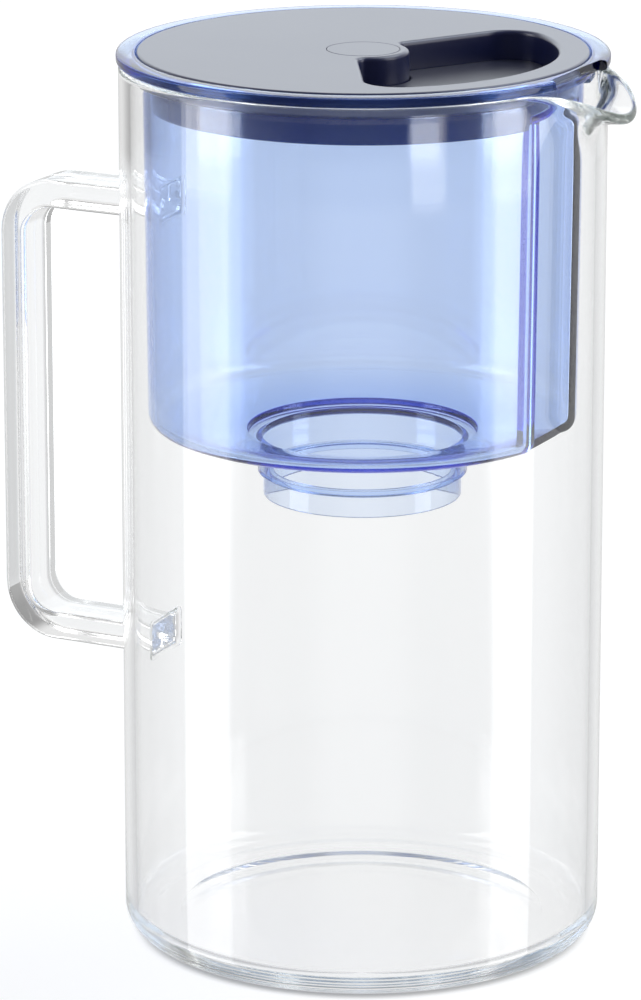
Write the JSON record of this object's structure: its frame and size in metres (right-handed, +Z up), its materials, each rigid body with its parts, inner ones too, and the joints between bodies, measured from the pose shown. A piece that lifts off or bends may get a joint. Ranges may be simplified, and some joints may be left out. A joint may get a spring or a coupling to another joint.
{
  "type": "water filter pitcher",
  "caption": "Clear glass pitcher with a fused bar handle and pulled spout, a hanging blue reservoir with a cartridge seat, and a dark lid with a sprung filler flap.",
  "frame": {"origin": "On the jug's axis, in the plane of the foot ring that it stands on.", "axes": "+Z up along the jug's axis, +X towards the spout, -X towards the handle, +Y completes a right-handed frame."},
  "size_m": [0.1785, 0.1262, 0.2347],
  "materials": {
    "clear_glass": "clear borosilicate glass, fire polished at the rim",
    "handle_glass": "solid clear borosilicate bar",
    "blue_clear_plastic": "transparent periwinkle blue moulding, polished",
    "soft_seal": "translucent grey silicone",
    "satin_navy": "fine satin moulding, dark navy that looks grey at a low angle",
    "gloss_navy": "polished dark navy moulding",
    "flap_navy": "fine satin moulding",
    "steel": "stainless spring steel"
  },
  "bodies": {
    "jug": {"glass_body": "clear_glass", "glass_handle": "handle_glass"},
    "reservoir": {"reservoir": "blue_clear_plastic", "rim_seal": "soft_seal"},
    "lid": {"lid_cover": "satin_navy", "lid_skirt": "gloss_navy", "centre_cap": "satin_navy", "hinge_pins": "steel", "spring_coils": "steel"},
    "flap": {"filler_flap": "flap_navy", "spring_arms": "steel"}
  },
  "joints": [
    {"name": "reservoir_lift", "type": "slide", "parent": "jug", "child": "reservoir", "axis": [0, 0, 1], "range_m": [0, 0.13]},
    {"name": "lid_lift", "type": "slide", "parent": "reservoir", "child": "lid", "axis": [0, 0, 1], "range_m": [0, 0.06]},
    {"name": "flap_hinge", "type": "hinge", "parent": "lid", "child": "flap", "pos_m": [0.003, 0, 0.2228], "axis": [0, 1, 0], "range_deg": [0, 75], "stiffness_Nm_per_rad": 0.004, "springref_deg": -45.84}
  ]
}
